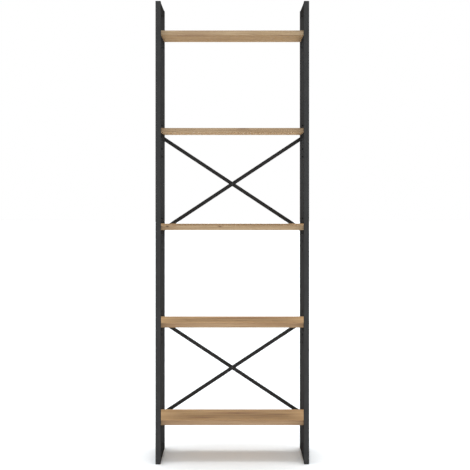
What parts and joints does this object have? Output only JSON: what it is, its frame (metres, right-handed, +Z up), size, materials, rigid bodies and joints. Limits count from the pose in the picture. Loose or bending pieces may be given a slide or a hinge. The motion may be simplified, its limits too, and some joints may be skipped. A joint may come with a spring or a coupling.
{
  "type": "bookcase with adjustable shelves",
  "caption": "Tall open bookcase: dark tube side frames, oak boards on side rails, crossed flat braces at the back, and middle shelves that lift off support pegs.",
  "frame": {"origin": "on the floor, below the middle of the bookcase's box", "axes": "+Z up; the front faces -Y; +X is to the right as seen from the front"},
  "size_m": [0.597, 0.3062, 1.8],
  "materials": {
    "frame_coating": "fine matt powder coat, charcoal grey",
    "oak": "natural light oak, matt lacquer",
    "plastic": "black moulded plastic",
    "black_steel": "black oxide, satin"
  },
  "bodies": {
    "frame": {"post_front_left": "frame_coating", "post_front_right": "frame_coating", "post_rear_left": "frame_coating", "post_rear_right": "frame_coating", "rail_foot_left": "frame_coating", "rail_top_left": "frame_coating", "rail_foot_right": "frame_coating", "rail_top_right": "frame_coating", "glide_front_left": "plastic", "cap_front_left": "plastic", "glide_front_right": "plastic", "cap_front_right": "plastic", "glide_rear_left": "plastic", "cap_rear_left": "plastic", "glide_rear_right": "plastic", "cap_rear_right": "plastic", "level_1_board": "oak", "level_1_rail_left": "frame_coating", "level_1_rail_right": "frame_coating", "level_5_board": "oak", "level_5_rail_left": "frame_coating", "level_5_rail_right": "frame_coating", "brace_lower_rising": "frame_coating", "brace_lower_falling": "frame_coating", "brace_bolt_lower_low_left": "black_steel", "brace_bolt_lower_low_right": "black_steel", "brace_bolt_lower_high_left": "black_steel", "brace_bolt_lower_high_right": "black_steel", "brace_rivet_lower": "black_steel", "brace_upper_rising": "frame_coating", "brace_upper_falling": "frame_coating", "brace_bolt_upper_low_left": "black_steel", "brace_bolt_upper_low_right": "black_steel", "brace_bolt_upper_high_left": "black_steel", "brace_bolt_upper_high_right": "black_steel", "brace_rivet_upper": "black_steel"},
    "level_2": {"level_2_board": "oak", "level_2_rail_left": "frame_coating", "level_2_rail_right": "frame_coating"},
    "level_3": {"level_3_board": "oak", "level_3_rail_left": "frame_coating", "level_3_rail_right": "frame_coating"},
    "level_4": {"level_4_board": "oak", "level_4_rail_left": "frame_coating", "level_4_rail_right": "frame_coating"},
    "peg_2_front_left": {"peg_2_front_left": "black_steel"},
    "peg_2_front_right": {"peg_2_front_right": "black_steel"},
    "peg_2_rear_left": {"peg_2_rear_left": "black_steel"},
    "peg_2_rear_right": {"peg_2_rear_right": "black_steel"},
    "peg_3_front_left": {"peg_3_front_left": "black_steel"},
    "peg_3_front_right": {"peg_3_front_right": "black_steel"},
    "peg_3_rear_left": {"peg_3_rear_left": "black_steel"},
    "peg_3_rear_right": {"peg_3_rear_right": "black_steel"},
    "peg_4_front_left": {"peg_4_front_left": "black_steel"},
    "peg_4_front_right": {"peg_4_front_right": "black_steel"},
    "peg_4_rear_left": {"peg_4_rear_left": "black_steel"},
    "peg_4_rear_right": {"peg_4_rear_right": "black_steel"}
  },
  "joints": [
    {"name": "level_2_lift", "type": "slide", "parent": "frame", "child": "level_2", "axis": [0, 0, 1], "range_m": [0, 0.32]},
    {"name": "level_3_lift", "type": "slide", "parent": "frame", "child": "level_3", "axis": [0, 0, 1], "range_m": [0, 0.32]},
    {"name": "level_4_lift", "type": "slide", "parent": "frame", "child": "level_4", "axis": [0, 0, 1], "range_m": [0, 0.32]},
    {"name": "peg_2_front_left_pull", "type": "slide", "parent": "frame", "child": "peg_2_front_left", "axis": [0, 1, 0], "range_m": [0, 0.012]},
    {"name": "peg_2_front_right_pull", "type": "slide", "parent": "frame", "child": "peg_2_front_right", "axis": [0, 1, 0], "range_m": [0, 0.012]},
    {"name": "peg_2_rear_left_pull", "type": "slide", "parent": "frame", "child": "peg_2_rear_left", "axis": [0, -1, 0], "range_m": [0, 0.012]},
    {"name": "peg_2_rear_right_pull", "type": "slide", "parent": "frame", "child": "peg_2_rear_right", "axis": [0, -1, 0], "range_m": [0, 0.012]},
    {"name": "peg_3_front_left_pull", "type": "slide", "parent": "frame", "child": "peg_3_front_left", "axis": [0, 1, 0], "range_m": [0, 0.012]},
    {"name": "peg_3_front_right_pull", "type": "slide", "parent": "frame", "child": "peg_3_front_right", "axis": [0, 1, 0], "range_m": [0, 0.012]},
    {"name": "peg_3_rear_left_pull", "type": "slide", "parent": "frame", "child": "peg_3_rear_left", "axis": [0, -1, 0], "range_m": [0, 0.012]},
    {"name": "peg_3_rear_right_pull", "type": "slide", "parent": "frame", "child": "peg_3_rear_right", "axis": [0, -1, 0], "range_m": [0, 0.012]},
    {"name": "peg_4_front_left_pull", "type": "slide", "parent": "frame", "child": "peg_4_front_left", "axis": [0, 1, 0], "range_m": [0, 0.012]},
    {"name": "peg_4_front_right_pull", "type": "slide", "parent": "frame", "child": "peg_4_front_right", "axis": [0, 1, 0], "range_m": [0, 0.012]},
    {"name": "peg_4_rear_left_pull", "type": "slide", "parent": "frame", "child": "peg_4_rear_left", "axis": [0, -1, 0], "range_m": [0, 0.012]},
    {"name": "peg_4_rear_right_pull", "type": "slide", "parent": "frame", "child": "peg_4_rear_right", "axis": [0, -1, 0], "range_m": [0, 0.012]}
  ]
}
